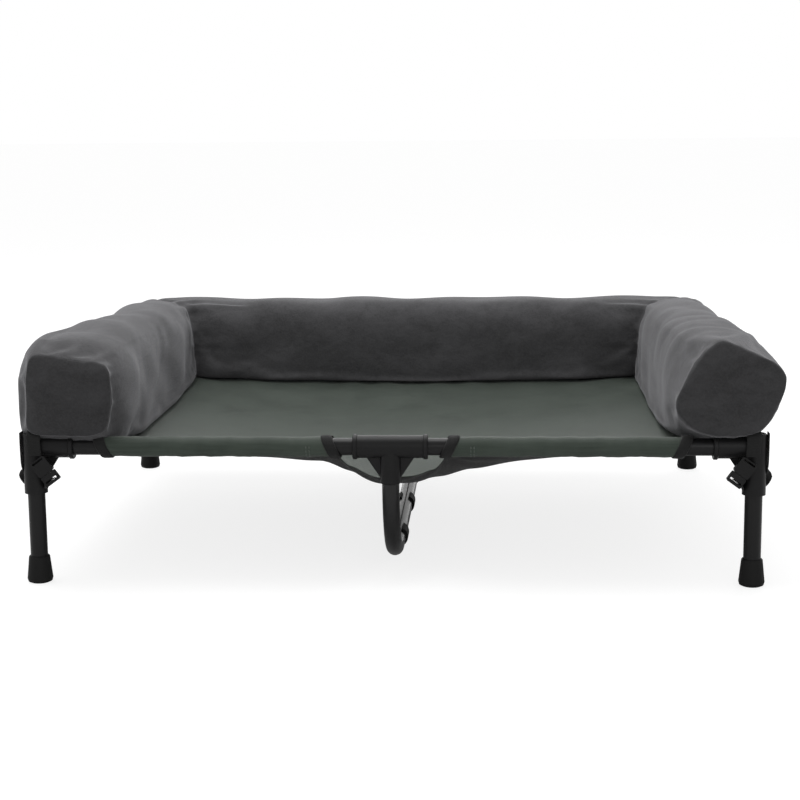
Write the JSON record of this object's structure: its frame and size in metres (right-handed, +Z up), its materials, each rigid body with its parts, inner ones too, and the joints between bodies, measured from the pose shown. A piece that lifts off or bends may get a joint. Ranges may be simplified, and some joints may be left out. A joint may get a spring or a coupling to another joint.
{
  "type": "raised dog bed with bolster",
  "caption": "Raised rectangular dog bed: a black tube frame on short legs, a green fabric sling and a gray plush bolster round the back and sides.",
  "frame": {"origin": "on the floor, under the middle of the bed", "axes": "+X to the bed's right seen from its open front, +Y to the back, +Z up"},
  "size_m": [0.83, 0.6526, 0.2736],
  "materials": {
    "tube_steel": "satin black powder coat",
    "hoop_gloss": "gloss black enamel",
    "moulded_black": "satin black moulded plastic",
    "foot_rubber": "matte black rubber",
    "sling_cloth": "coated dark green woven cloth",
    "binding_tape": "black woven tape",
    "bolster_plush": "dark gray short-pile plush",
    "filling": "white fibre filling",
    "webbing": "black ribbed webbing",
    "buckle_plastic": "satin black moulded plastic"
  },
  "bodies": {
    "frame": {"front_rail_left": "tube_steel", "front_rail_right": "tube_steel", "back_rail_left": "tube_steel", "back_rail_right": "tube_steel", "side_rail_left": "tube_steel", "side_rail_right": "tube_steel", "corner_connector_front_left": "moulded_black", "corner_connector_front_right": "moulded_black", "corner_connector_back_left": "moulded_black", "corner_connector_back_right": "moulded_black", "tee_connector_front": "moulded_black", "tee_connector_back": "moulded_black", "sling": "sling_cloth", "sleeve_binding_front_left": "binding_tape", "sleeve_binding_front_right": "binding_tape", "sleeve_binding_back_left": "binding_tape", "sleeve_binding_back_right": "binding_tape", "sleeve_binding_side_left": "binding_tape", "sleeve_binding_side_right": "binding_tape"},
    "leg_front_left": {"leg_front_left": "tube_steel", "foot_cap_front_left": "foot_rubber"},
    "leg_front_right": {"leg_front_right": "tube_steel", "foot_cap_front_right": "foot_rubber"},
    "leg_back_left": {"leg_back_left": "tube_steel", "foot_cap_back_left": "foot_rubber"},
    "leg_back_right": {"leg_back_right": "tube_steel", "foot_cap_back_right": "foot_rubber"},
    "center_support": {"center_hoop": "hoop_gloss", "hoop_pad_front": "foot_rubber", "hoop_pad_middle": "foot_rubber", "hoop_pad_rear": "foot_rubber"},
    "bolster": {"bolster_cover_left": "bolster_plush", "bolster_cover_back": "bolster_plush", "bolster_cover_right": "bolster_plush", "bolster_fill_left": "filling", "bolster_fill_back": "filling", "bolster_fill_right": "filling", "strap_drop_front_left": "webbing", "strap_wrap_front_left": "webbing", "buckle_female_front_left": "buckle_plastic", "strap_drop_front_right": "webbing", "strap_wrap_front_right": "webbing", "buckle_female_front_right": "buckle_plastic", "strap_drop_back_left": "webbing", "strap_wrap_back_left": "webbing", "buckle_female_back_left": "buckle_plastic", "strap_drop_back_right": "webbing", "strap_wrap_back_right": "webbing", "buckle_female_back_right": "buckle_plastic"},
    "buckle_front_left": {"buckle_male_front_left": "buckle_plastic"},
    "buckle_front_right": {"buckle_male_front_right": "buckle_plastic"},
    "buckle_back_left": {"buckle_male_back_left": "buckle_plastic"},
    "buckle_back_right": {"buckle_male_back_right": "buckle_plastic"}
  },
  "joints": [
    {"name": "leg_pull_front_left", "type": "slide", "parent": "frame", "child": "leg_front_left", "axis": [0, 0, -1], "range_m": [0, 0.045]},
    {"name": "leg_pull_front_right", "type": "slide", "parent": "frame", "child": "leg_front_right", "axis": [0, 0, -1], "range_m": [0, 0.045]},
    {"name": "leg_pull_back_left", "type": "slide", "parent": "frame", "child": "leg_back_left", "axis": [0, 0, -1], "range_m": [0, 0.045]},
    {"name": "leg_pull_back_right", "type": "slide", "parent": "frame", "child": "leg_back_right", "axis": [0, 0, -1], "range_m": [0, 0.045]},
    {"name": "center_support_pull", "type": "slide", "parent": "frame", "child": "center_support", "axis": [0, 0, -1], "range_m": [0, 0.035]},
    {"name": "bolster_lift", "type": "slide", "parent": "frame", "child": "bolster", "axis": [0, 0, 1], "range_m": [0, 0.12], "deforming": ["strap_wrap_front_left", "strap_wrap_front_right", "strap_wrap_back_left", "strap_wrap_back_right"]},
    {"name": "buckle_release_front_left", "type": "slide", "parent": "bolster", "child": "buckle_front_left", "axis": [0.5878, 0, -0.809], "range_m": [0, 0.022], "deforming": ["strap_wrap_front_left"]},
    {"name": "buckle_release_front_right", "type": "slide", "parent": "bolster", "child": "buckle_front_right", "axis": [-0.5878, 0, -0.809], "range_m": [0, 0.022], "deforming": ["strap_wrap_front_right"]},
    {"name": "buckle_release_back_left", "type": "slide", "parent": "bolster", "child": "buckle_back_left", "axis": [0.5878, 0, -0.809], "range_m": [0, 0.022], "deforming": ["strap_wrap_back_left"]},
    {"name": "buckle_release_back_right", "type": "slide", "parent": "bolster", "child": "buckle_back_right", "axis": [-0.5878, 0, -0.809], "range_m": [0, 0.022], "deforming": ["strap_wrap_back_right"]}
  ]
}
